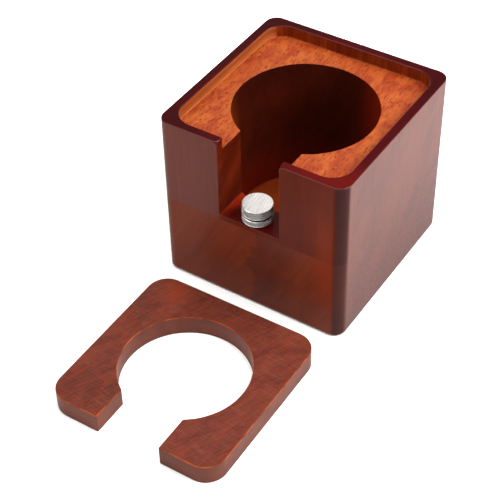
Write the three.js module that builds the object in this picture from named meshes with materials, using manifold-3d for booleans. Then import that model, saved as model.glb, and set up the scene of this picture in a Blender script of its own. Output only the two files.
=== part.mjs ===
// A wooden stand for a portafilter, the handled filter holder of an espresso machine.
//
// Two glued blocks make the stand. A blind well for the spouts runs down through the upper block
// into the base block. A slot at the front lets the handle's neck in and stops short of the glue
// line, which leaves a ledge. The top is sunk to a shallow recess with a raised rim.
// A knurled screw with a lock nut stands on the ledge and props the neck up at the right height.
// The loose adapter plate drops into the recess for a smaller portafilter. Here it lies in front.
//
// Millimetres. X runs along the front, Y to the back and Z up, with the table at z = 0. The
// origin is the middle of the rectangle that the stand and the plate cover on the table.

import * as THREE from "three";
import { mergeVertices } from "three/addons/utils/BufferGeometryUtils.js";
import Module from "manifold-3d";

const wasm = await Module();
wasm.setup();

// Stand
const standWidth = 100;
const standHeight = 91.1;
const standCornerRadius = 6.2;
const seamHeight = 45.5;
const ledgeHeight = 48.2;
const ledgeDepth = 15.5;
const rimWall = 4.6;
const recessDepth = 6.2;
const recessCornerRadius = 10.8;
const wellRadius = 35.3;
const wellFloor = 14.3;
const slotWidth = 32.8;
const slotEdgeRadius = 0.4;
const slotCornerRadius = 2.6;
const slotCornerDrop = 2.5;

// Adapter plate, and where it lies
const plateThickness = 10.5;
const plateHoleRadius = 31.2;
const plateSlotWidth = 33.5;
const plateSlotEdgeRadius = 0.5;
const plateSideClearance = 0.4;
const plateEndClearance = 0.9;
const plateGap = 14.4;
const plateShift = 2.9;
const plateTurn = THREE.MathUtils.degToRad(0.4);

// Height screw, its lock nut and the insert that it turns in
const studRadius = 3;
const studBelowLedge = 20;
const studChamfer = 0.8;
const headMargin = 0.15;
const headThickness = 4.6;
const headBoreDepth = 3;
const headChamfer = 0.3;
const nutThickness = 3.3;
const nutChamfer = 0.3;
const nutGap = 1;
const insertWall = 1.2;
const insertLength = 13;
const screwTravelDown = 0.7;
const threadClearance = 0.08;
const pressClearance = 0.1;
const tipClearance = 4;
const pilotClearance = 0.5;

// Rubber feet, sunk into the underside
const footRadius = 6;
const footThickness = 2.4;
const footProud = 1;
const footEdgeRadius = 0.4;
const footInset = 14;
const footClearance = 0.2;

// Round stretches keep within this distance of the true curve.
const chordError = 0.02;
// A cutter runs this far past the face that it opens.
const cutterOverrun = 1;
// The slot's rounded front corners have this many steps round and this many down.
const cornerSteps = 6;

// Heights above the table
const seamZ = footProud + seamHeight;
const ledgeZ = footProud + ledgeHeight;
const rimZ = footProud + standHeight;
const recessZ = rimZ - recessDepth;
const wellZ = footProud + wellFloor;
const headZ = ledgeZ + nutThickness + nutGap;
const insertZ = ledgeZ - insertLength;
const studTopZ = headZ + headBoreDepth;
const studTipZ = ledgeZ - studBelowLedge;

// Sizes that follow from the others. The well leaves a ledge of the stated depth in front, and
// as much wood behind. The head and the nut are as wide as the ledge, less a margin each side.
const standDepth = 2 * (wellRadius + ledgeDepth);
const headRadius = ledgeDepth / 2 - headMargin;
const threadRadius = studRadius + threadClearance;
const insertRadius = threadRadius + insertWall;
const pilotRadius = studRadius + pilotClearance;
const recessWidth = standWidth - 2 * rimWall;
const recessLength = standDepth - 2 * rimWall;
const plateWidth = recessWidth - 2 * plateSideClearance;
const plateLength = recessLength - 2 * plateEndClearance;
const plateCornerRadius = recessCornerRadius - plateSideClearance;

// The table is shared out along Y: the plate in front, a gap, and the stand behind.
const plateHalfSpan =
  (plateWidth / 2 - plateCornerRadius) * Math.sin(plateTurn) +
  (plateLength / 2 - plateCornerRadius) * Math.cos(plateTurn) +
  plateCornerRadius;
const wholeLength = 2 * plateHalfSpan + plateGap + standDepth;
const standY = (wholeLength - standDepth) / 2;
const plateY = plateHalfSpan - wholeLength / 2;

// The screw stands in the middle of the ledge, between the front face and the well.
const screwY = -(standDepth / 2 + wellRadius) / 2;

const materials = {
  baseBlock: paint(0x6b3420, 0.35, 0),
  upperBlock: paint(0x74321c, 0.35, 0),
  plate: paint(0x8a4430, 0.55, 0),
  steel: paint(0xc9c6c2, 0.3, 1),
  brass: paint(0xb08d4a, 0.35, 1),
  rubber: paint(0x1c1b1a, 0.85, 0),
};

const group = new THREE.Group();
const stand = new THREE.Group();
stand.position.y = standY;
const screw = new THREE.Group();
screw.position.y = screwY;
stand.add(screw);
group.add(stand);

stand.add(named("base_block", baseBlock(), materials.baseBlock));
stand.add(named("upper_block", upperBlock(), materials.upperBlock));
for (const [name, side, end] of footPlaces()) {
  const foot = named(name, rubberFoot(), materials.rubber);
  foot.position.set(side, end, 0);
  stand.add(foot);
}

screw.add(named("threaded_insert", threadedInsert(), materials.brass));
screw.add(named("height_stud", heightStud(), materials.steel));
screw.add(named("knurled_head", knurledHead(), materials.steel));
screw.add(named("lock_nut", lockNut(), materials.steel));

const plate = named("adapter_plate", adapterPlate(), materials.plate);
plate.position.set(plateShift, plateY, 0);
plate.rotation.z = plateTurn;
group.add(plate);

// The base block: a rounded square with the lower end of the well, the stepped hole for the
// insert and the stud's tip, and a pocket for each foot.
function baseBlock() {
  const outline = roundedRectangle(standWidth, standDepth, standCornerRadius);
  const cutters = [
    drilled(0, 0, wellRadius, wellZ, seamZ + cutterOverrun),
    insertHole(),
    drilled(0, screwY, pilotRadius, studTipZ - screwTravelDown - tipClearance, seamZ),
  ];
  for (const [, side, end] of footPlaces()) {
    cutters.push(drilled(side, end, footRadius + footClearance, 0, footThickness));
  }
  return cut(prism(outline, footProud, seamZ), cutters);
}

// The upper block: bored through for the well, slotted down to the ledge, with the recess in its
// top. Below the ledge it keeps a thin bridge, which the insert passes through.
function upperBlock() {
  const outline = roundedRectangle(standWidth, standDepth, standCornerRadius);
  const recess = roundedRectangle(recessWidth, recessLength, recessCornerRadius);
  return cut(prism(outline, seamZ, rimZ), [
    drilled(0, 0, wellRadius, seamZ - cutterOverrun, rimZ),
    standSlot(),
    prism(recess, recessZ, rimZ + cutterOverrun),
    insertHole(),
  ]);
}

// The slot over the ledge. Its upright front edges are barely rounded, apart from their upper
// ends, where the rim's corners are sanded off.
function standSlot() {
  const layer = (height, radius) => ({
    height,
    outline: frontSlot(standDepth, slotWidth, radius, cornerSteps),
  });
  const layers = [layer(ledgeZ, slotEdgeRadius)];
  for (let i = 0; i <= cornerSteps; i++) {
    const share = i / cornerSteps;
    const radius = slotEdgeRadius + (slotCornerRadius - slotEdgeRadius) * share ** 2;
    layers.push(layer(rimZ - slotCornerDrop * (1 - share), radius));
  }
  layers.push(layer(rimZ + cutterOverrun, slotCornerRadius));
  return lofted(layers);
}

function insertHole() {
  return drilled(0, screwY, insertRadius + pressClearance, insertZ, ledgeZ + cutterOverrun);
}

// The adapter plate: smaller than the recess by its clearances, with a hole open to the front.
function adapterPlate() {
  const outline = roundedRectangle(plateWidth, plateLength, plateCornerRadius);
  const slot = frontSlot(plateLength, plateSlotWidth, plateSlotEdgeRadius);
  return cut(prism(outline, 0, plateThickness), [
    drilled(0, 0, plateHoleRadius, -cutterOverrun, plateThickness + cutterOverrun),
    prism(slot, -cutterOverrun, plateThickness + cutterOverrun),
  ]);
}

// The brass insert: a sleeve, flush with the ledge and seated on the step in its hole.
function threadedInsert() {
  return turned([
    [threadRadius, insertZ],
    [insertRadius, insertZ],
    [insertRadius, ledgeZ],
    [threadRadius, ledgeZ],
  ]);
}

// The stud: a plain shank of the thread's outer size, chamfered at its tip.
function heightStud() {
  return turned([
    [0, studTipZ],
    [studRadius - studChamfer, studTipZ],
    [studRadius, studTipZ + studChamfer],
    [studRadius, studTopZ],
    [0, studTopZ],
  ]);
}

// The head: a disc with a blind bore below, pressed onto the stud.
function knurledHead() {
  const top = headZ + headThickness;
  return turned([
    [threadRadius, headZ],
    [headRadius - headChamfer, headZ],
    [headRadius, headZ + headChamfer],
    [headRadius, top - headChamfer],
    [headRadius - headChamfer, top],
    [0, top],
    [0, studTopZ],
    [threadRadius, studTopZ],
  ]);
}

// The lock nut: a ring of the head's diameter, resting on the ledge.
function lockNut() {
  const top = ledgeZ + nutThickness;
  return turned([
    [threadRadius, ledgeZ],
    [headRadius - nutChamfer, ledgeZ],
    [headRadius, ledgeZ + nutChamfer],
    [headRadius, top - nutChamfer],
    [headRadius - nutChamfer, top],
    [threadRadius, top],
  ]);
}

// A foot: a rubber button with a rounded lower edge, stuck to the ceiling of its pocket.
function rubberFoot() {
  const profile = arc(footRadius - footEdgeRadius, footEdgeRadius, footEdgeRadius, -90, 0);
  return turned([[0, 0], ...profile, [footRadius, footThickness], [0, footThickness]]);
}

// The name of each foot and its place from the middle of the stand.
function footPlaces() {
  const places = [];
  for (const [endName, endSign] of [["front", -1], ["rear", 1]]) {
    for (const [sideName, sideSign] of [["left", -1], ["right", 1]]) {
      const side = sideSign * (standWidth / 2 - footInset);
      const end = endSign * (standDepth / 2 - footInset);
      places.push([`foot_${endName}_${sideName}`, side, end]);
    }
  }
  return places;
}

// Points along an arc, from one angle to another in degrees, both ends included.
function arc(x, y, radius, from, to, steps = arcSteps(radius, to - from)) {
  const start = THREE.MathUtils.degToRad(from);
  const sweep = THREE.MathUtils.degToRad(to - from);
  const points = [];
  for (let i = 0; i <= steps; i++) {
    const angle = start + (sweep * i) / steps;
    points.push([x + radius * Math.cos(angle), y + radius * Math.sin(angle)]);
  }
  return points;
}

function arcSteps(radius, degrees) {
  const stepAngle = 2 * Math.acos(1 - chordError / radius);
  return Math.ceil(Math.abs(THREE.MathUtils.degToRad(degrees)) / stepAngle);
}

// A rounded rectangle, anticlockwise from the front end of its front right corner.
function roundedRectangle(width, depth, radius) {
  const x = width / 2 - radius;
  const y = depth / 2 - radius;
  return [
    ...arc(x, -y, radius, -90, 0),
    ...arc(x, y, radius, 0, 90),
    ...arc(-x, y, radius, 90, 180),
    ...arc(-x, -y, radius, 180, 270),
  ];
}

// The outline of a slot that runs from in front of a block to its middle, and flares with a
// rounded edge on each side where it leaves the front face.
function frontSlot(blockDepth, width, edgeRadius, steps) {
  const side = width / 2;
  const front = -blockDepth / 2;
  const edgeX = side + edgeRadius;
  return [
    [-edgeX, front - cutterOverrun],
    [edgeX, front - cutterOverrun],
    ...arc(edgeX, front + edgeRadius, edgeRadius, 270, 180, steps),
    [side, 0],
    [-side, 0],
    ...arc(-edgeX, front + edgeRadius, edgeRadius, 0, -90, steps),
  ];
}

// An outline in plan, raised from one height to another.
function prism(outline, from, to) {
  const shape = new THREE.Shape(outline.map(([x, y]) => new THREE.Vector2(x, y)));
  const geometry = new THREE.ExtrudeGeometry(shape, { depth: to - from, bevelEnabled: false });
  return geometry.translate(0, 0, from);
}

// A body through outlines of equal point count, given from the lowest up.
function lofted(layers) {
  const count = layers[0].outline.length;
  const positions = layers.flatMap(({ outline, height }) => outline.flatMap(([x, y]) => [x, y, height]));
  const indices = [];
  for (let low = 0; low < (layers.length - 1) * count; low += count) {
    for (let i = 0; i < count; i++) {
      const here = low + i;
      const next = low + ((i + 1) % count);
      indices.push(here, next, next + count, here, next + count, here + count);
    }
  }
  const topStart = (layers.length - 1) * count;
  for (const [a, b, c] of flatTriangles(layers[0].outline)) {
    indices.push(a, c, b);
  }
  for (const [a, b, c] of flatTriangles(layers.at(-1).outline)) {
    indices.push(topStart + a, topStart + b, topStart + c);
  }
  const geometry = new THREE.BufferGeometry();
  geometry.setAttribute("position", new THREE.Float32BufferAttribute(positions, 3));
  geometry.setIndex(indices);
  return geometry;
}

function flatTriangles(outline) {
  return THREE.ShapeUtils.triangulateShape(outline.map(([x, y]) => new THREE.Vector2(x, y)), []);
}

// A round cutter on an upright axis.
function drilled(x, y, radius, from, to) {
  return prism(arc(x, y, radius, 0, 360).slice(0, -1), from, to);
}

// A closed profile of [radius, height] points, turned about the Z axis.
function turned(profile) {
  const points = [...profile, profile[0]].map(([radius, height]) => new THREE.Vector2(radius, height));
  const segments = Math.ceil(Math.PI / Math.acos(1 - chordError / headRadius));
  return new THREE.LatheGeometry(points, segments).rotateX(Math.PI / 2);
}

// Takes each cutter out of a body.
function cut(body, cutters) {
  let solid = toSolid(body);
  for (const cutter of cutters) {
    solid = solid.subtract(toSolid(cutter));
  }
  return toGeometry(solid);
}

function toSolid(geometry) {
  const bare = geometry.clone();
  bare.deleteAttribute("normal");
  bare.deleteAttribute("uv");
  const merged = mergeVertices(bare, 1e-4);
  const mesh = new wasm.Mesh({
    numProp: 3,
    vertProperties: merged.attributes.position.array,
    triVerts: new Uint32Array(merged.index.array),
  });
  return new wasm.Manifold(mesh);
}

function toGeometry(solid) {
  const mesh = solid.getMesh();
  const geometry = new THREE.BufferGeometry();
  geometry.setAttribute("position", new THREE.BufferAttribute(mesh.vertProperties, 3));
  geometry.setIndex(new THREE.BufferAttribute(mesh.triVerts, 1));
  const flat = geometry.toNonIndexed();
  flat.computeVertexNormals();
  return flat;
}

function paint(color, roughness, metalness) {
  return new THREE.MeshStandardMaterial({ color, roughness, metalness });
}

function named(name, geometry, material) {
  const mesh = new THREE.Mesh(geometry, material);
  mesh.name = name;
  return mesh;
}

export default group;
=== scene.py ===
import math

import bmesh
import bpy
from mathutils import Matrix, Vector


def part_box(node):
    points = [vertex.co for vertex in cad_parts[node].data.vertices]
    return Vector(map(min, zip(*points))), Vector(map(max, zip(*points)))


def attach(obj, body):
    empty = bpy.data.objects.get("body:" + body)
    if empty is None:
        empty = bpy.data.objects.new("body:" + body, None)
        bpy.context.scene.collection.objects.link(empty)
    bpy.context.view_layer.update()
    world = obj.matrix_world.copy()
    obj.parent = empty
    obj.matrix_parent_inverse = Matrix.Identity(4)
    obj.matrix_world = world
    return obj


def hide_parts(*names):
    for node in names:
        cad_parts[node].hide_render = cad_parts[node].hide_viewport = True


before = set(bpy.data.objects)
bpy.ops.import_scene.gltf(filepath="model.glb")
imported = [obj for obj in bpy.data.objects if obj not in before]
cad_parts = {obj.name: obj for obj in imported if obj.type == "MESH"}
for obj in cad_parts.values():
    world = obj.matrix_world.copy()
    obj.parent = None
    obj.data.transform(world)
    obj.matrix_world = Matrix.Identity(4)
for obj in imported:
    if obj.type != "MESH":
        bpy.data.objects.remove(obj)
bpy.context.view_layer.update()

mm = 0.001
scene = bpy.context.scene
scene.view_settings.view_transform = "Standard"
print("frame loaded:", len(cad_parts), "parts")


# Heights and places, read off the CAD parts

def flatHeights(node):
    return sorted({round(v.co.z, 6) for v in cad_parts[node].data.vertices})


def middleOf(node):
    low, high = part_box(node)
    return (low + high) / 2


seamZ, ledgeZ, recessZ, slotCornerZ, *_, rimZ = flatHeights("upper_block")
undersideZ, _, wellFloorZ = flatHeights("base_block")[:3]
standMiddle = middleOf("base_block")
screwMiddle = middleOf("knurled_head")
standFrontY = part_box("base_block")[0].y


# Small helpers for shader nodes

def addNode(tree, kind, inputs=None, **settings):
    node = tree.nodes.new(kind)
    for key, value in settings.items():
        setattr(node, key, value)
    for key, value in (inputs or {}).items():
        if isinstance(value, bpy.types.NodeSocket):
            tree.links.new(value, node.inputs[key])
        else:
            node.inputs[key].default_value = value
    return node


def stain(red, green, blue):
    # screen values 0 to 255 to the linear colour that nodes take
    linear = []
    for value in (red, green, blue):
        share = value / 255
        linear.append(share / 12.92 if share < 0.04045 else ((share + 0.055) / 1.055) ** 2.4)
    return (*linear, 1)


def partCoords(tree):
    return addNode(tree, "ShaderNodeTexCoord").outputs["Object"]


def stretched(tree, coords, turn, scale):
    turned = addNode(tree, "ShaderNodeVectorRotate", {"Vector": coords}, rotation_type="EULER_XYZ")
    turned.inputs["Rotation"].default_value = [math.radians(angle) for angle in turn]
    scaled = addNode(tree, "ShaderNodeVectorMath", {0: turned.outputs[0], 1: scale}, operation="MULTIPLY")
    return scaled.outputs[0]


def noise(tree, coords, detail, roughness, distortion=0.0):
    # detail is how many finer layers of marks there are, and roughness how strong each is
    made = addNode(tree, "ShaderNodeTexNoise", {"Vector": coords, "Scale": 1.0, "Detail": detail,
                                                "Roughness": roughness, "Distortion": distortion})
    return made.outputs["Fac"]


def eased(tree, value, low, high, start=0.0, end=1.0):
    made = addNode(tree, "ShaderNodeMapRange", {"Value": value, "From Min": low, "From Max": high,
                                                "To Min": start, "To Max": end},
                   interpolation_type="SMOOTHSTEP")
    return made.outputs["Result"]


def maths(tree, operation, first, second):
    return addNode(tree, "ShaderNodeMath", {0: first, 1: second}, operation=operation).outputs[0]


def product(tree, *values):
    result = values[0]
    for value in values[1:]:
        result = maths(tree, "MULTIPLY", result, value)
    return result


def blended(tree, amount, under, over):
    return addNode(tree, "ShaderNodeMix", {0: amount, 6: under, 7: over}, data_type="RGBA").outputs[2]


def split(tree, vector):
    return addNode(tree, "ShaderNodeSeparateXYZ", {0: vector}).outputs


def wander(tree, coords, size, reach):
    # an uneven distance, so that the border of a tone isn't straight
    return maths(tree, "MULTIPLY", noise(tree, stretched(tree, coords, (0, 0, 0), size), 3, 0.6), reach)


def relieved(tree, shader, height, strength, distance):
    relief = addNode(tree, "ShaderNodeBump", {"Height": height, "Strength": strength, "Distance": distance})
    tree.links.new(relief.outputs[0], shader.inputs["Normal"])


def newFinish(name):
    finish = bpy.data.materials.new(name)
    finish.use_nodes = True
    return finish, finish.node_tree, finish.node_tree.nodes["Principled BSDF"]


# Stained wood. One recipe, and a dictionary of values for each face of each board:
# light and dark are the stain's two tones, and the fibres run along X until turn lays
# them another way. Sizes are marks to the metre, a limit is where a mark starts and where
# it is full, pores are the short dark dashes, and worn is where the stain is rubbed thin.

woodDefaults = {
    "light": stain(120, 62, 44), "dark": stain(88, 40, 30),
    "turn": (0, 0, 0),
    "figureSize": (14, 70, 70), "figureReach": (0.32, 0.68),
    "fibreSize": (90, 1500, 1500), "fibreDepth": 0.18,
    "poreSize": (330, 1500, 1500), "poreLimit": (0.66, 0.74), "poreTone": stain(70, 16, 8), "poreDepth": 0,
    "wornSize": (40, 160, 160), "wornLimit": (0.6, 0.75), "wornTone": stain(190, 90, 40), "wornDepth": 0,
    "roughness": 0.42, "roughnessSpread": 0.06,
    "coat": 0.05, "coatAtSides": 0, "coatRoughness": 0.2, "specular": 0.04, "cornerShadeDepth": 0,
    "bump": 0.15, "bumpDepth": 0.05 * mm,
}
fibreReach = (0.3, 0.7)


def woodFinish(name, changes, extra=None):
    values = {**woodDefaults, **changes}
    finish, tree, shader = newFinish(name)
    coords = partCoords(tree)
    figure = noise(tree, stretched(tree, coords, values["turn"], values["figureSize"]), 4, 0.6, 0.6)
    fibre = noise(tree, stretched(tree, coords, values["turn"], values["fibreSize"]), 4, 0.7)
    colour = blended(tree, eased(tree, figure, *values["figureReach"]), values["dark"], values["light"])
    if extra:
        colour = extra(tree, coords, colour)
    shade = eased(tree, fibre, *fibreReach, 1 - values["fibreDepth"], 1 + values["fibreDepth"])
    colour = addNode(tree, "ShaderNodeVectorMath", {0: colour, 3: shade}, operation="SCALE").outputs[0]
    if values["poreDepth"]:
        pores = noise(tree, stretched(tree, coords, values["turn"], values["poreSize"]), 2, 0.5)
        amount = eased(tree, pores, *values["poreLimit"], 0, values["poreDepth"])
        colour = blended(tree, amount, colour, values["poreTone"])
    if values["wornDepth"]:
        patches = noise(tree, stretched(tree, coords, values["turn"], values["wornSize"]), 5, 0.65, 0.4)
        amount = eased(tree, patches, *values["wornLimit"], 0, values["wornDepth"])
        colour = blended(tree, amount, colour, values["wornTone"])
    # painted shade at the sides' foot and on the rounded upright corners
    if values["cornerShadeDepth"]:
        colour = sideToneWithFootShade(tree, coords, rightCornerOrange(tree, coords, colour))
        colour = shadedCorners(tree, coords, colour, values["cornerShadeDepth"])
    tree.links.new(colour, shader.inputs["Base Color"])
    spread = values["roughnessSpread"]
    rough = eased(tree, fibre, *fibreReach, values["roughness"] - spread, values["roughness"] + spread)
    tree.links.new(rough, shader.inputs["Roughness"])
    shader.inputs["Specular IOR Level"].default_value = values["specular"]
    shader.inputs["Coat Weight"].default_value = values["coat"]
    shader.inputs["Coat Roughness"].default_value = values["coatRoughness"]
    strength = values["bump"]
    if values["coatAtSides"]:
        gloss = sideGloss(tree, coords, values["coat"], values["coatAtSides"])
        tree.links.new(gloss, shader.inputs["Coat Weight"])
        strength = eased(tree, onSides(tree, coords), 0, 1, strength, sides["openGrain"] * strength)
    relieved(tree, shader, fibre, strength, values["bumpDepth"])
    return finish


# The stand's outside: its polished sides and its rounded upright corners, with painted shade at the sides'
# foot and on the corners

sides = {
    "facing": (0.95, 0.999), "place": (40 * mm, 45 * mm),
    "footGloss": 0.62,      # the share of the gloss that is left at the foot
    "openGrain": 0.15,      # the share of the relief that the varnish leaves open
    # low is the painted shade at the foot of the sides, high the stain up the side
    "low": stain(70, 24, 16), "high": stain(86, 36, 26), "footShadeRise": (10 * mm, 90 * mm), "footShadeDrift": 30 * mm,
    "cloud": stain(56, 16, 14), "cloudLimit": (0.42, 0.66), "cloudDepth": 0.45,
}


def onSides(tree, coords):
    # 1 on the flat left and right sides, 0 on the front, the back and round the slot
    across = split(tree, addNode(tree, "ShaderNodeTexCoord").outputs["Normal"])["X"]
    facing = eased(tree, maths(tree, "ABSOLUTE", across, 0), *sides["facing"])
    outer = eased(tree, maths(tree, "ABSOLUTE", split(tree, coords)["X"], 0), *sides["place"])
    return product(tree, facing, outer)


def sideGloss(tree, coords, front, side):
    # the left and right sides are polished more than the front and the back, and most near the top
    polish = eased(tree, split(tree, coords)["Z"], 0, rimZ, sides["footGloss"] * side, side)
    return maths(tree, "ADD", front, product(tree, onSides(tree, coords), polish))


def sideToneWithFootShade(tree, coords, colour):
    # both boards take the same even stain on the left and right sides, with painted shade darker towards the
    # foot
    drift = noise(tree, stretched(tree, coords, (35, 0, 0), (20, 18, 60)), 3, 0.5)
    height = maths(tree, "ADD", split(tree, coords)["Z"], maths(tree, "MULTIPLY", drift, sides["footShadeDrift"]))
    footShaded = blended(tree, eased(tree, height, *sides["footShadeRise"]), sides["low"], sides["high"])
    clouds = noise(tree, stretched(tree, coords, (-50, 0, 0), (20, 16, 46)), 4, 0.6)
    clouded = eased(tree, clouds, *sides["cloudLimit"], 0, sides["cloudDepth"])
    return blended(tree, onSides(tree, coords), colour, blended(tree, clouded, footShaded, sides["cloud"]))


# the painted shade on the rounded upright corners
corners = {
    "bend": (0.03, 0.4),      # how far round the corner the painted shade starts, and is full
    "place": (40 * mm, 44 * mm), "width": 40 * mm, "leftShare": 0.3, "tone": stain(24, 12, 16),
}


def shadedCorners(tree, coords, colour, depth):
    # painted shade on the stand's rounded upright corners, least on the left
    normal = split(tree, addNode(tree, "ShaderNodeTexCoord").outputs["Normal"])
    bend = maths(tree, "ABSOLUTE", maths(tree, "MULTIPLY", normal["X"], normal["Y"]), 0)
    place = split(tree, coords)["X"]
    outer = eased(tree, maths(tree, "ABSOLUTE", place, 0), *corners["place"])
    toRight = eased(tree, place, -corners["width"], corners["width"], corners["leftShare"], 1)
    amount = product(tree, eased(tree, bend, *corners["bend"], 0, depth), outer, toRight)
    return blended(tree, amount, colour, corners["tone"])


rightCornerPatch = {
    "wanderSize": (30, 30, 60), "wander": 12 * mm, "left": (36 * mm, 48 * mm), "right": (50 * mm, 56 * mm),
    "foot": (8 * mm, 34 * mm), "top": (56 * mm, 88 * mm), "topShare": 0.25,
    "depth": 0.45, "tone": stain(116, 38, 6),
}


def rightCornerOrange(tree, coords, colour):
    # a lighter orange patch beside the right corner, half way up
    parts = split(tree, coords)
    across = maths(tree, "ADD", parts["X"], wander(tree, coords, rightCornerPatch["wanderSize"], rightCornerPatch["wander"]))
    fromLeft = eased(tree, across, *rightCornerPatch["left"])
    toRight = eased(tree, across, *rightCornerPatch["right"], 1, 0)
    fromFoot = eased(tree, parts["Z"], *rightCornerPatch["foot"])
    toTop = eased(tree, parts["Z"], *rightCornerPatch["top"], 1, rightCornerPatch["topShare"])
    amount = product(tree, fromLeft, toRight, fromFoot, toTop, rightCornerPatch["depth"])
    return blended(tree, amount, colour, rightCornerPatch["tone"])


# Tones that belong to one face of a board

upright = (0, 90, 0)      # fibres up and down
alongY = (0, 0, 90)       # fibres from front to back
steep = (0, 62, 0)        # fibres up the front face, leaning to the right
frontSkin = (standFrontY + 1 * mm, standFrontY + 7 * mm)      # the depth over which a front tone fades

frontWave = {
    "wanderSize": (30, 30, 55), "wander": 40 * mm, "left": (-19 * mm, -16 * mm), "right": (-14 * mm, 10 * mm),
    "depth": 0.5, "tone": stain(62, 24, 20),
}


def darkWave(tree, coords, colour):
    # the wavy darker patch in the figure of the base's front
    parts = split(tree, coords)
    shifted = maths(tree, "SUBTRACT", parts["X"],
                    wander(tree, coords, frontWave["wanderSize"], frontWave["wander"]))
    fromLeft = eased(tree, shifted, *frontWave["left"])
    toRight = eased(tree, shifted, *frontWave["right"], 1, 0)
    onFront = eased(tree, parts["Y"], *frontSkin, frontWave["depth"], 0)
    return blended(tree, product(tree, fromLeft, toRight, onFront), colour, frontWave["tone"])


dashes = {
    "turn": (0, 0, -6), "size": (150, 650, 650), "limit": (0.62, 0.72), "place": (8 * mm, 34 * mm),
    "depth": 0.7, "tone": stain(150, 50, 20),
}


def acrossDashes(tree, coords, colour):
    # on the right of the recess the cut shows larger flecks, which run across
    flecks = noise(tree, stretched(tree, coords, dashes["turn"], dashes["size"]), 3, 0.55)
    place = eased(tree, split(tree, coords)["X"], *dashes["place"])
    amount = product(tree, eased(tree, flecks, *dashes["limit"], 0, dashes["depth"]), place)
    return blended(tree, amount, colour, dashes["tone"])


rimReds = {
    "front": (standFrontY + 6 * mm, standFrontY + 26 * mm), "right": (2 * mm, 34 * mm),
    "redDepth": 0.7, "red": stain(72, 6, 3),
    "left": (-40 * mm, -20 * mm), "darkDepth": 0.35, "dark": stain(20, 1, 1),
}


def rimTone(tree, coords, colour):
    # the rim is redder towards the right front corner, and darker along the left
    parts = split(tree, coords)
    atFront = eased(tree, parts["Y"], *rimReds["front"], rimReds["redDepth"], 0)
    amount = product(tree, eased(tree, parts["X"], *rimReds["right"]), atFront)
    atLeft = eased(tree, parts["X"], *rimReds["left"], rimReds["darkDepth"], 0)
    darker = blended(tree, atLeft, colour, rimReds["dark"])
    return blended(tree, amount, darker, rimReds["red"])


pillarReflection = {
    "wanderSize": (40, 40, 20), "wander": 20 * mm, "fade": (-20 * mm, 40 * mm), "inner": (16 * mm, 17 * mm),
    "depth": 0.8, "tone": stain(90, 48, 40),
}


def leftPillarReflection(tree, coords, colour):
    # painted reflection: the top board's front turns from a reflected purple brown on the left to a warm
    # brown on the right
    parts = split(tree, coords)
    shifted = maths(tree, "ADD", parts["X"], wander(tree, coords, pillarReflection["wanderSize"], pillarReflection["wander"]))
    onPillars = eased(tree, maths(tree, "ABSOLUTE", parts["X"], 0), *pillarReflection["inner"])
    onFront = eased(tree, parts["Y"], *frontSkin, pillarReflection["depth"], 0)
    toLeft = eased(tree, shifted, *pillarReflection["fade"], 1, 0)
    return blended(tree, product(tree, onFront, onPillars, toLeft), colour, pillarReflection["tone"])


wellLightAndShade = {
    "wanderSize": (24, 24, 24), "wanderDeep": 16 * mm, "wanderUp": 12 * mm,
    "mouth": (screwMiddle.y + 24 * mm, screwMiddle.y + 50 * mm),
    "mouthDepth": 0.8, "slotLightTone": stain(128, 52, 12),
    "foot": (24 * mm, 52 * mm), "footDepth": 0.6, "footTone": stain(98, 18, 4),
    "top": (70 * mm, 88 * mm), "left": (-30 * mm, -8 * mm), "shadeDepth": 0.4, "shade": stain(24, 4, 2),
    "right": (6 * mm, 32 * mm), "rightDepth": 0.75, "rightTone": stain(112, 22, 3),
}


def wellPaintedLight(tree, coords, colour):
    # painted light on the well's wall: lit warm just inside the slot, near the floor and on the right,
    # and painted shade at the top left
    parts = split(tree, coords)
    size = wellLightAndShade["wanderSize"]
    deep = maths(tree, "ADD", parts["Y"], wander(tree, coords, size, wellLightAndShade["wanderDeep"]))
    high = maths(tree, "ADD", parts["Z"], wander(tree, coords, size, wellLightAndShade["wanderUp"]))
    atMouth = eased(tree, deep, *wellLightAndShade["mouth"], wellLightAndShade["mouthDepth"], 0)
    colour = blended(tree, atMouth, colour, wellLightAndShade["slotLightTone"])
    atFoot = eased(tree, high, *wellLightAndShade["foot"], wellLightAndShade["footDepth"], 0)
    colour = blended(tree, atFoot, colour, wellLightAndShade["footTone"])
    atLeft = eased(tree, parts["X"], *wellLightAndShade["left"], wellLightAndShade["shadeDepth"], 0)
    shaded = product(tree, eased(tree, high, *wellLightAndShade["top"]), atLeft)
    colour = blended(tree, shaded, colour, wellLightAndShade["shade"])
    atRight = eased(tree, parts["X"], *wellLightAndShade["right"], 0, wellLightAndShade["rightDepth"])
    return blended(tree, atRight, colour, wellLightAndShade["rightTone"])


ledgeReflectionTones = {"lean": 0.35, "left": -17 * mm, "reach": 5 * mm, "depth": 0.85, "tone": stain(124, 30, 6)}


def ledgeReflectionBand(tree, coords, colour):
    # painted reflection: a bright orange-red band on the ledge, along the foot of the slot's left wall
    parts = split(tree, coords)
    fromFront = maths(tree, "SUBTRACT", parts["Y"], standFrontY)
    across = maths(tree, "SUBTRACT", parts["X"], maths(tree, "MULTIPLY", fromFront, ledgeReflectionTones["lean"]))
    left = screwMiddle.x + ledgeReflectionTones["left"]
    reflectedBand = eased(tree, across, left - ledgeReflectionTones["reach"], left + ledgeReflectionTones["reach"], ledgeReflectionTones["depth"], 0)
    return blended(tree, reflectedBand, colour, ledgeReflectionTones["tone"])


plateWorn = {
    "scratchTurn": (0, 0, 4), "scratchSize": (110, 3200, 3200), "scratchLimit": (0.54, 0.72),
    "scratchDepth": 0.35, "scratchTone": stain(112, 70, 60),
    "bareFromLeft": 13 * mm, "bareFromBack": 8 * mm, "bareRagged": 18 * mm, "bareReach": (-8 * mm, 2 * mm),
    "bareDepth": 0.5, "bareTone": stain(110, 38, 12),
}


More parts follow.
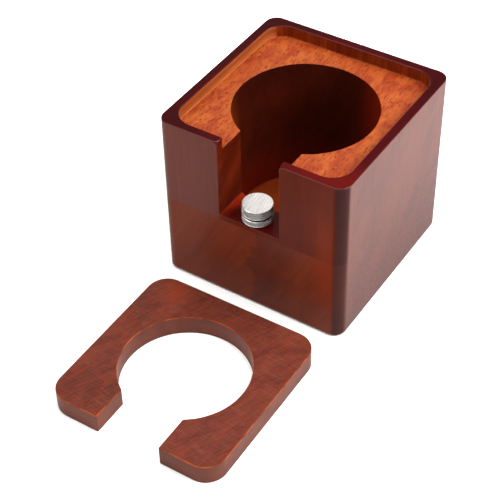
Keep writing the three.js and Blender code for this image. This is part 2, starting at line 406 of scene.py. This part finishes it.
def plateWear(tree, coords, colour):
    # a satin haze of fine scratches, all sanded the same way, and a bare patch near the rear left corner
    sanded = stretched(tree, coords, plateWorn["scratchTurn"], plateWorn["scratchSize"])
    scratches = noise(tree, sanded, 2, 0.7)
    haze = eased(tree, scratches, *plateWorn["scratchLimit"], 0, plateWorn["scratchDepth"])
    colour = blended(tree, haze, colour, plateWorn["scratchTone"])
    low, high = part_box("adapter_plate")
    middle = Vector((low.x + plateWorn["bareFromLeft"], high.y - plateWorn["bareFromBack"], high.z))
    distance = addNode(tree, "ShaderNodeVectorMath", {0: coords, 1: middle}, operation="DISTANCE")
    ragged = noise(tree, stretched(tree, coords, (0, 0, -20), (140, 420, 420)), 4, 0.7)
    ragged = maths(tree, "MULTIPLY", ragged, plateWorn["bareRagged"])
    reach = maths(tree, "SUBTRACT", distance.outputs["Value"], ragged)
    bare = eased(tree, reach, *plateWorn["bareReach"], plateWorn["bareDepth"], 0)
    return blended(tree, bare, colour, plateWorn["bareTone"])


finishes = {
    "baseFront": woodFinish("stained_base_outside", {
        "light": stain(98, 39, 19), "dark": stain(87, 32, 15), "turn": steep,
        "fibreSize": (40, 900, 900), "fibreDepth": 0.1, "coatAtSides": 0.26, "cornerShadeDepth": 0.72,
    }, darkWave),
    "upperFront": woodFinish("stained_top_outside", {
        "light": stain(81, 24, 9), "dark": stain(73, 21, 7), "turn": upright,
        "fibreSize": (30, 1300, 1300), "fibreDepth": 0.1, "coatAtSides": 0.26, "cornerShadeDepth": 0.72,
    }, leftPillarReflection),
    "rim": woodFinish("cherry_rim", {
        "light": stain(49, 2, 3), "dark": stain(38, 1, 2), "turn": alongY, "fibreDepth": 0.1,
        "coat": 0.0, "specular": 0.03,
    }, rimTone),
    # painted highlight: the rounded upper edge strips take a lighter red than the rim, besides their real
    # gloss
    "rimEdge": woodFinish("cherry_edge_highlight", {
        "light": stain(66, 8, 9), "dark": stain(56, 6, 7), "turn": alongY,
        "coat": 0.35, "coatRoughness": 0.15,
    }),
    "recessFloor": woodFinish("bright_recess", {
        "light": stain(132, 62, 21), "dark": stain(110, 37, 10), "turn": alongY,
        "figureSize": (60, 150, 150), "fibreSize": (160, 1900, 1900), "fibreDepth": 0.2,
        "poreSize": (360, 1300, 1300), "poreLimit": (0.57, 0.64),
        "poreDepth": 0.85, "poreTone": stain(88, 18, 5),
        "coat": 0.0, "specular": 0.12, "roughness": 0.55,
    }, acrossDashes),
    "recessSide": woodFinish("recess_side_wall", {
        "light": stain(139, 72, 34), "dark": stain(108, 43, 16), "turn": alongY,
        "figureSize": (10, 60, 420), "coat": 0.0, "roughness": 0.55,
    }),
    "recessEnd": woodFinish("recess_end_wall", {
        "light": stain(112, 39, 8), "dark": stain(88, 23, 4), "turn": upright,
        "figureSize": (12, 260, 260), "fibreDepth": 0.25, "coat": 0.0, "roughness": 0.55,
    }),
    "well": woodFinish("well_wall", {
        "light": stain(56, 13, 4), "dark": stain(44, 9, 2), "turn": (0, 60, 0),
        "figureSize": (16, 60, 60), "fibreSize": (60, 1100, 1100), "fibreDepth": 0.16,
        "coat": 0.05, "roughness": 0.5,
    }, wellPaintedLight),
    "wellFloor": woodFinish("well_floor", {
        "light": stain(112, 42, 10), "dark": stain(84, 27, 5), "turn": (0, 0, -72),
        "figureSize": (16, 60, 60),
    }),
    "slot": woodFinish("slot_wall", {
        "light": stain(81, 23, 8), "dark": stain(60, 13, 3), "turn": (-40, 0, 90),
        "figureSize": (40, 90, 90), "fibreDepth": 0.2,
    }),
    "ledge": woodFinish("cherry_ledge", {
        "light": stain(58, 4, 2), "dark": stain(46, 3, 1), "coat": 0.05,
    }, ledgeReflectionBand),
    "plateTop": woodFinish("satin_plate_top", {
        "light": stain(83, 34, 20), "dark": stain(67, 24, 13), "turn": (0, 0, -66),
        "figureSize": (40, 90, 90), "fibreSize": (130, 2600, 2600), "fibreDepth": 0.3,
        "wornSize": (200, 900, 900), "wornLimit": (0.52, 0.66),
        "wornDepth": 0.5, "wornTone": stain(104, 30, 10),
        "coat": 0.0, "specular": 0.12, "roughness": 0.5, "bump": 0.4,
    }, plateWear),
    "plateSide": woodFinish("satin_plate_side", {
        "light": stain(92, 44, 29), "dark": stain(78, 34, 22),
        "coat": 0.0, "specular": 0.12, "roughness": 0.5,
    }),
    # painted highlight: the plate's rounded top edges take a lighter orange
    "plateEdge": woodFinish("plate_edge_highlight", {
        "light": stain(140, 62, 24), "dark": stain(84, 34, 20), "figureSize": (120, 120, 120),
        "coat": 0.0, "roughness": 0.5,
    }),
}
print("wood finishes mixed")


# Boards: a CAD part's own faces, with its sharp edges softened

softening = {
    "merge": 0.002 * mm, "near": 0.01 * mm,
    "flat": 0.1, "crease": 32,      # in degrees
    "segments": 3, "evening": 80,
}
slotEdge = {"deep": 0.5 * mm, "inner": 10 * mm, "outer": 20 * mm}
strips = {"reach": 1 * mm, "topSlope": (0.15, 0.97), "floorSlope": (0.02, 0.99)}


def boardShape(node):
    shape = bmesh.new()
    shape.from_mesh(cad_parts[node].data)
    bmesh.ops.remove_doubles(shape, verts=shape.verts, dist=softening["merge"])
    flat = math.radians(softening["flat"])
    bmesh.ops.dissolve_limit(shape, angle_limit=flat, verts=shape.verts, edges=shape.edges)
    sharpenSlot(shape)
    shape.normal_update()
    return shape


def sharpenSlot(shape):
    # the slot's upright front edges come to one line, from the ledge to where the rim is sanded round
    for height in (ledgeZ, slotCornerZ):
        for side in (-1, 1):
            ring = [vertex for vertex in shape.verts
                    if abs(vertex.co.z - height) < softening["near"]
                    and vertex.co.y < standFrontY + slotEdge["deep"]
                    and slotEdge["inner"] < side * vertex.co.x < slotEdge["outer"]]
            if ring:
                wallX = side * min(abs(vertex.co.x) for vertex in ring)
                bmesh.ops.pointmerge(shape, verts=ring, merge_co=(wallX, standFrontY, height))


def softenedBoard(name, node, body, faceFinish, edgeWidth, edgeFinish):
    shape = boardShape(node)
    names = []
    for face in shape.faces:
        wanted = faceFinish(face)
        if wanted not in names:
            names.append(wanted)
        face.material_index = names.index(wanted)
        face.smooth = True
    weighEdges(shape, names, edgeWidth)
    mesh = bpy.data.meshes.new(name)
    shape.to_mesh(mesh)
    shape.free()
    for wanted in (*names, edgeFinish):
        mesh.materials.append(finishes[wanted])
    board = bpy.data.objects.new(name, mesh)
    scene.collection.objects.link(board)
    bevel = board.modifiers.new("softened", "BEVEL")
    bevel.limit_method = "WEIGHT"
    bevel.width = max(edgeWidth.values()) * mm
    bevel.segments = softening["segments"]
    bevel.use_clamp_overlap = False
    normals = board.modifiers.new("evened", "WEIGHTED_NORMAL")
    normals.weight = softening["evening"]
    normals.keep_sharp = True
    applyModifiers(board)
    finishEdges(board.data, names)
    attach(board, body)
    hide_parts(node)


def weighEdges(shape, names, edgeWidth):
    # every creased edge takes the width that the finishes on its two sides call for
    widest = max(edgeWidth.values())
    weights = shape.edges.layers.float.new("bevel_weight_edge")
    for edge in shape.edges:
        if edge.calc_face_angle(0) < math.radians(softening["crease"]):
            continue
        pair = frozenset(names[face.material_index] for face in edge.link_faces)
        width = edgeWidth.get(pair, edgeWidth["other"])
        if sum(abs(end.co.z - seamZ) for end in edge.verts) < softening["near"]:
            width = 0      # the glued faces meet flush
        edge[weights] = width / widest
        edge.smooth = width > 0


def finishEdges(mesh, names):
    # the rounded strips: along the upper edges in the edge's finish, round the well's floor in the well's
    highest = max(vertex.co.z for vertex in mesh.vertices)
    for face in mesh.polygons:
        height, slope = face.center.z, face.normal.z
        outside = height > highest - strips["reach"] or face.center.y < standFrontY + strips["reach"]
        atFloor = wellFloorZ < height < wellFloorZ + strips["reach"] and "well" in names
        if outside and strips["topSlope"][0] < slope < strips["topSlope"][1]:
            face.material_index = len(names)
        elif atFloor and strips["floorSlope"][0] < slope < strips["floorSlope"][1]:
            face.material_index = names.index("well")


def applyModifiers(piece):
    graph = bpy.context.evaluated_depsgraph_get()
    final = piece.evaluated_get(graph)
    done = bpy.data.meshes.new_from_object(final, preserve_all_data_layers=True, depsgraph=graph)
    piece.modifiers.clear()
    piece.data = done


# The stand's two boards

standZones = {
    "slotReach": 20 * mm, "slotBack": -30 * mm, "wellReach": 38 * mm,
    "levels": {"rim": rimZ, "recessFloor": recessZ, "ledge": ledgeZ, "wellFloor": wellFloorZ},
    "near": 0.1 * mm, "lying": 0.5, "facingSlot": 0.95,
}


def standFinish(face, outside):
    place = face.calc_center_median()
    fromAxis = (place - standMiddle).xy
    normal = face.normal
    if normal.z > standZones["lying"]:
        for finish, height in standZones["levels"].items():
            if abs(place.z - height) < standZones["near"]:
                return finish
        return outside
    if normal.z < -standZones["lying"]:
        return outside
    if abs(fromAxis.x) < standZones["slotReach"] and fromAxis.y < standZones["slotBack"]:
        return "slot" if abs(normal.x) > standZones["facingSlot"] else outside
    if fromAxis.length < standZones["wellReach"]:
        return "well"
    if normal.xy.dot(fromAxis) > 0:
        return outside
    return "recessSide" if abs(normal.x) > abs(normal.y) else "recessEnd"


# How wide each softened edge is, in millimetres, by the finishes that meet there
upperEdges = {
    frozenset(("rim", "upperFront")): 0.38,
    frozenset(("rim", "recessSide")): 0.3,
    frozenset(("rim", "recessEnd")): 0.3,
    frozenset(("rim", "slot")): 0.38,
    frozenset(("recessSide", "recessFloor")): 0.6,
    frozenset(("recessEnd", "recessFloor")): 0.6,
    frozenset(("recessEnd", "slot")): 0.3,
    frozenset(("recessFloor", "well")): 0.25,
    frozenset(("recessFloor", "slot")): 0.25,
    frozenset(("ledge", "upperFront")): 0.3,
    frozenset(("ledge", "well")): 0.5,
    frozenset(("ledge", "slot")): 0.3,
    frozenset(("slot", "upperFront")): 0.3,
    frozenset(("slot", "well")): 0.4,
    "other": 0.06,
}
baseEdges = {
    frozenset(("baseFront",)): 0.6,
    frozenset(("wellFloor", "well")): 0.8,
    "other": 0.06,
}
softenedBoard("stained_top", "upper_block", "stand",
              lambda face: standFinish(face, "upperFront"), upperEdges, "rimEdge")
softenedBoard("stained_base", "base_block", "stand",
              lambda face: standFinish(face, "baseFront"), baseEdges, "baseFront")
print("stand boards made")


# The loose plate

def plateFinish(face):
    return "plateTop" if abs(face.normal.z) > standZones["lying"] else "plateSide"


plateEdges = {frozenset(("plateTop", "plateSide")): 0.35, "other": 0.4}
softenedBoard("stained_plate", "adapter_plate", "plate", plateFinish, plateEdges, "plateEdge")
print("plate made")


# Turned metal and rubber pieces

turning = {"sharp": 35, "clearance": 0.08 * mm}      # sharp in degrees


def turnedPiece(name, profile, columns, finish, node, body, relief=None, axis=screwMiddle, shadeFinish=None):
    # profile is (radius, height) round a closed section, or from axis to axis; relief adds to a radius;
    # shadeFinish is a second finish, for painted shade, and a test that tells from a face's radius, height
    # and slope where it lies
    rings = []
    shape = bmesh.new()
    for radius, height in profile:
        if radius == 0:
            rings.append([shape.verts.new((axis.x, axis.y, height))])
            continue
        ring = []
        for column in range(columns):
            angle = 2 * math.pi * column / columns
            reach = radius + (relief(angle, height, radius) if relief else 0)
            place = (axis.x + reach * math.cos(angle), axis.y + reach * math.sin(angle), height)
            ring.append(shape.verts.new(place))
        rings.append(ring)
    if len(rings[0]) > 1:
        rings.append(rings[0])
    for lower, upper in zip(rings, rings[1:]):
        for column in range(columns):
            after = (column + 1) % columns
            around = [lower[column % len(lower)], lower[after % len(lower)],
                      upper[after % len(upper)], upper[column % len(upper)]]
            shape.faces.new(list(dict.fromkeys(around)))
    bmesh.ops.recalc_face_normals(shape, faces=shape.faces)
    for face in shape.faces:
        face.smooth = True
        centre = face.calc_center_median()
        if shadeFinish and shadeFinish[1]((centre - axis).xy.length, centre.z, face.normal.z):
            face.material_index = 1
    mesh = bpy.data.meshes.new(name)
    shape.to_mesh(mesh)
    shape.free()
    mesh.materials.append(finish)
    if shadeFinish:
        mesh.materials.append(shadeFinish[0])
    mesh.set_sharp_from_angle(angle=math.radians(turning["sharp"]))
    piece = bpy.data.objects.new(name, mesh)
    scene.collection.objects.link(piece)
    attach(piece, body)
    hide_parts(node)


def turnedSize(node):
    # lowest and highest point, and the radius
    low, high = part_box(node)
    return low.z, high.z, (high.x - low.x) / 2


def steps(low, high, count):
    return [low + (high - low) * i / count for i in range(count + 1)]


def ridge(turns):
    # 1 on the crest, 0 in the valley, once every turn
    return abs(2 * (turns % 1) - 1)


knurl = {
    "around": 70, "depth": 0.3 * mm, "fade": 0.2 * mm,      # diamonds round the knob, and their fading ends
    "columnsEach": 6, "rowsEach": 6,                        # how finely each diamond is cut
    "litShare": 0.78,                                      # the share of the depth that stays bright steel, above the painted shade
}


def knurlRelief(low, high, crest):
    pitch = 2 * math.pi * crest / knurl["around"]

    def relief(angle, height, radius):
        if radius < crest - softening["near"]:
            return 0
        turns = angle / (2 * math.pi) * knurl["around"]
        rise = (height - low) / pitch
        diamond = min(ridge(turns + rise), ridge(turns - rise))
        ends = min(height - low, high - height) / knurl["fade"]
        return -knurl["depth"] * (1 - diamond) * max(0, min(1, ends))

    return relief


def knurledSide(low, high, crest):
    pitch = 2 * math.pi * crest / knurl["around"]
    rows = round((high - low) / pitch * knurl["rowsEach"])
    return [(crest, height) for height in steps(low, high, rows)]


steelLook = {
    "tone": stain(226, 221, 218)[:3], "streakSize": (120, 4200, 4200), "cloudSize": (220, 220, 220),
    "streakDulls": 0.18, "cloudDulls": 0.08, "bump": 0.25, "bumpDepth": 0.02 * mm,
}
rubberLook = {
    "dark": stain(26, 25, 24), "light": stain(40, 38, 36), "gritSize": (1800, 1800, 1800),
    "roughness": (0.7, 0.9), "bump": 0.3, "bumpDepth": 0.05 * mm,
}
brassLook = {
    "bright": stain(205, 164, 92), "dull": stain(160, 118, 58), "tarnishSize": (500, 500, 900),
    "roughness": (0.25, 0.45),
}
# painted shade, near black, for the knurl's hollows and the gap between the knob and the nut
knurlShadeLook = {
    "dark": stain(14, 9, 8), "light": stain(42, 30, 27), "shadeMottleSize": (600, 600, 600),
    "roughness": (0.45, 0.7), "specular": 0.2,
}


def steelFinish(name, streakTurn, streakDepth, roughness):
    finish, tree, shader = newFinish(name)
    coords = partCoords(tree)
    streaks = noise(tree, stretched(tree, coords, streakTurn, steelLook["streakSize"]), 3, 0.6)
    clouds = noise(tree, stretched(tree, coords, (0, 0, 0), steelLook["cloudSize"]), 3, 0.5)
    bright = eased(tree, streaks, *fibreReach, 1 - streakDepth, 1)
    colour = addNode(tree, "ShaderNodeVectorMath", {0: steelLook["tone"], 3: bright}, operation="SCALE")
    tree.links.new(colour.outputs[0], shader.inputs["Base Color"])
    dulled = maths(tree, "ADD", eased(tree, streaks, *fibreReach, 0, steelLook["streakDulls"]),
                   eased(tree, clouds, *fibreReach, 0, steelLook["cloudDulls"]))
    tree.links.new(maths(tree, "ADD", dulled, roughness), shader.inputs["Roughness"])
    shader.inputs["Metallic"].default_value = 1
    relieved(tree, shader, streaks, steelLook["bump"], steelLook["bumpDepth"])
    return finish


def mottledFinish(name, size, first, second, roughness):
    finish, tree, shader = newFinish(name)
    mottle = noise(tree, stretched(tree, partCoords(tree), (0, 0, 0), size), 4, 0.6)
    tree.links.new(blended(tree, mottle, first, second), shader.inputs["Base Color"])
    tree.links.new(eased(tree, mottle, *fibreReach, *roughness), shader.inputs["Roughness"])
    return finish, tree, shader, mottle


def rubberFinish():
    finish, tree, shader, grit = mottledFinish("moulded_rubber", rubberLook["gritSize"], rubberLook["dark"],
                                               rubberLook["light"], rubberLook["roughness"])
    relieved(tree, shader, grit, rubberLook["bump"], rubberLook["bumpDepth"])
    return finish


def brassFinish():
    finish, _, shader, _ = mottledFinish("turned_brass", brassLook["tarnishSize"], brassLook["bright"],
                                         brassLook["dull"], brassLook["roughness"])
    shader.inputs["Metallic"].default_value = 1
    return finish


def knurlShadeFinish():
    finish, _, shader, _ = mottledFinish("painted_shade_in_knurl", knurlShadeLook["shadeMottleSize"], knurlShadeLook["dark"],
                                         knurlShadeLook["light"], knurlShadeLook["roughness"])
    shader.inputs["Specular IOR Level"].default_value = knurlShadeLook["specular"]
    return finish


knobSteel = steelFinish("brushed_knob_steel", (0, 0, -94), 0.5, 0.22)
studSteel = steelFinish("cut_thread_steel", (0, 90, 0), 0.2, 0.3)
knurlShade = knurlShadeFinish()
brass = brassFinish()
rubber = rubberFinish()

edgeBreak = 0.3 * mm      # the chamfer on the knob and the nut
facingUp = 0.9            # a face's slope, from which it counts as lying flat
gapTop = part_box("knurled_head")[0].z + edgeBreak
studBottom, studTop, studRadius = turnedSize("height_stud")
boreRadius = studRadius + turning["clearance"]


def shadedHollows(low, high, crest):
    # painted shade: the lower part of the knurl, and the faces that look at each other across the gap
    deep = crest - knurl["depth"] * knurl["litShare"]

    def test(radius, height, up):
        onSide = low < height < high
        facingNeighbour = height <= low or up > facingUp and radius < crest - edgeBreak
        return radius < deep if onSide else facingNeighbour and height < gapTop

    return test


def knurledPiece(name, node, body, profileTop, profileFoot):
    low, high, crest = turnedSize(node)
    lowEdge, highEdge = low + edgeBreak, high - edgeBreak
    profile = profileTop(high, crest) + knurledSide(lowEdge, highEdge, crest)[::-1]
    profile += [(crest - edgeBreak, low), (boreRadius, low)] + profileFoot
    turnedPiece(name, profile, knurl["around"] * knurl["columnsEach"], knobSteel, node, body,
                knurlRelief(lowEdge, highEdge, crest), shadeFinish=(knurlShade, shadedHollows(lowEdge, highEdge, crest)))


def knobTop(high, crest):
    return [(0, high), (crest - 2 * edgeBreak, high), (crest - edgeBreak, high)]


def nutTop(high, crest):
    return [(boreRadius, high), (crest - edgeBreak, high)]


screwThread = {"pitch": 1 * mm, "depth": 0.6 * mm, "chamfer": 0.8 * mm, "row": 0.1 * mm, "columns": 48}


def threadedStud():
    rows = round((studTop - studBottom) / screwThread["row"])
    profile = [(0, studBottom)] + [(studRadius, height) for height in steps(studBottom, studTop, rows)]
    profile.append((0, studTop))

    def thread(angle, height, radius):
        cut = screwThread["depth"] * (1 - ridge(height / screwThread["pitch"] - angle / (2 * math.pi)))
        tip = max(0, screwThread["chamfer"] - (height - studBottom))
        return -max(cut, tip)

    turnedPiece("threaded_stud", profile, screwThread["columns"], studSteel, "height_stud", "stud",
                thread)


insertCut = {"groove": 0.5 * mm, "ribs": 32, "ribDepth": 0.2 * mm, "columnsEach": 6}


def brassInsert():
    low, high, outer = turnedSize("threaded_insert")
    groove, middle = insertCut["groove"], (low + high) / 2
    profile = [(outer, low), (outer, middle - groove),
               (outer - groove, middle - groove), (outer - groove, middle + groove),
               (outer, middle + groove), (outer, high), (boreRadius, high), (boreRadius, low)]

    def ribs(angle, height, radius):
        valley = 1 - ridge(angle / (2 * math.pi) * insertCut["ribs"])
        return -insertCut["ribDepth"] * valley if radius == outer else 0

    turnedPiece("brass_insert", profile, insertCut["ribs"] * insertCut["columnsEach"], brass,
                "threaded_insert", "stand", ribs)


feet = {
    "edge": 0.4 * mm, "edgeSteps": range(0, 91, 15), "groove": 0.3 * mm, "columns": 64,
    # shares of the radius, with 1 where the sole is grooved
    "sole": ((0, 1), (0.35, 1), (0.42, 0), (0.6, 0), (0.64, 1), (0.7, 1), (0.74, 0)),
}


def rubberFeet():
    for node in sorted(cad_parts):
        if not node.startswith("foot_"):
            continue
        low, high, outer = turnedSize(node)
        edge = feet["edge"]
        profile = [(outer * share, low + feet["groove"] * grooved) for share, grooved in feet["sole"]]
        for angle in map(math.radians, feet["edgeSteps"]):
            profile.append((outer - edge + edge * math.sin(angle), low + edge - edge * math.cos(angle)))
        profile += [(outer, high), (0, high)]
        turnedPiece("rubber_" + node, profile, feet["columns"], rubber, node, "stand",
                    axis=middleOf(node))


knurledPiece("knurled_knob", "knurled_head", "head", knobTop, [(boreRadius, studTop), (0, studTop)])
knurledPiece("knurled_nut", "lock_nut", "nut", nutTop, [])
threadedStud()
brassInsert()
rubberFeet()
print("screw, insert and feet made")


# Floor, light and camera

studio = {
    "floor": stain(236, 235, 233), "floorSize": 2, "floorSquares": 8, "floorRoughness": 0.8,
    "horizon": 0.55, "zenith": 0.08, "fade": (0.05, 0.6),      # how bright the room is, and over what heights
}
softboxes = {      # places are from the middle of the stand, on the floor
    "key_softbox": {"place": (0.5, 0.16, 0.6), "size": 0.55, "power": 14},
    "top_softbox": {"place": (-0.05, -0.15, 0.95), "size": 0.8, "power": 12},
    "fill_softbox": {"place": (-0.5, -0.6, 0.5), "size": 0.5, "power": 3},
    "back_card": {"place": (-0.54, 0.76, 0.9), "size": 0.8, "power": 3},
}


def layFloor():
    shape = bmesh.new()
    squares = studio["floorSquares"]
    bmesh.ops.create_grid(shape, x_segments=squares, y_segments=squares, size=studio["floorSize"])
    mesh = bpy.data.meshes.new("pale_floor")
    shape.to_mesh(mesh)
    shape.free()
    finish, tree, shader = newFinish("pale_card")
    shader.inputs["Base Color"].default_value = studio["floor"]
    shader.inputs["Roughness"].default_value = studio["floorRoughness"]
    mesh.materials.append(finish)
    floor = bpy.data.objects.new("pale_floor", mesh)
    scene.collection.objects.link(floor)


def hangLight(name, softbox):
    lamp = bpy.data.lights.new(name, "AREA")
    lamp.shape = "SQUARE"
    lamp.size = softbox["size"]
    lamp.energy = softbox["power"]
    hung = bpy.data.objects.new(name, lamp)
    scene.collection.objects.link(hung)
    target = Vector((standMiddle.x, standMiddle.y, 0))
    hung.location = target + Vector(softbox["place"])
    hung.rotation_euler = (target - hung.location).to_track_quat("-Z", "Y").to_euler()


def paintRoom():
    room = bpy.data.worlds.new("studio_room")
    scene.world = room
    room.use_nodes = True
    tree = room.node_tree
    background = tree.nodes["Background"]
    height = split(tree, addNode(tree, "ShaderNodeTexCoord").outputs["Generated"])["Z"]
    level = eased(tree, height, *studio["fade"], studio["horizon"], studio["zenith"])
    tree.links.new(level, background.inputs["Strength"])
    background.inputs["Color"].default_value = (1, 1, 1, 1)


cameraView = {
    "azimuth": 33.572, "elevation": 42.808, "roll": -1.362,
    "distance": 0.72408, "lens": 97.533, "nearest": 0.01,
    "aim": (-33.429 * mm, 0, -22.945 * mm),   # from the middle of the stand's underside
}


def placeCamera():
    around = math.radians(cameraView["azimuth"])
    above = math.radians(cameraView["elevation"])
    back = Vector((math.sin(around) * math.cos(above), -math.cos(around) * math.cos(above), math.sin(above)))
    right = (-back).cross(Vector((0, 0, 1))).normalized()
    up = right.cross(-back)
    roll = Matrix.Rotation(math.radians(cameraView["roll"]), 4, "Z")
    turn = Matrix((right, up, back)).transposed().to_4x4() @ roll
    underside = Vector((standMiddle.x, standMiddle.y, undersideZ))
    aim = underside + Vector(cameraView["aim"])
    lens = bpy.data.cameras.new("camera")
    lens.lens = cameraView["lens"]
    lens.clip_start = cameraView["nearest"]
    camera = bpy.data.objects.new("camera", lens)
    scene.collection.objects.link(camera)
    camera.matrix_world = Matrix.Translation(aim + back * cameraView["distance"]) @ turn
    scene.camera = camera


layFloor()
for name, softbox in softboxes.items():
    hangLight(name, softbox)
paintRoom()
placeCamera()
print("studio set")
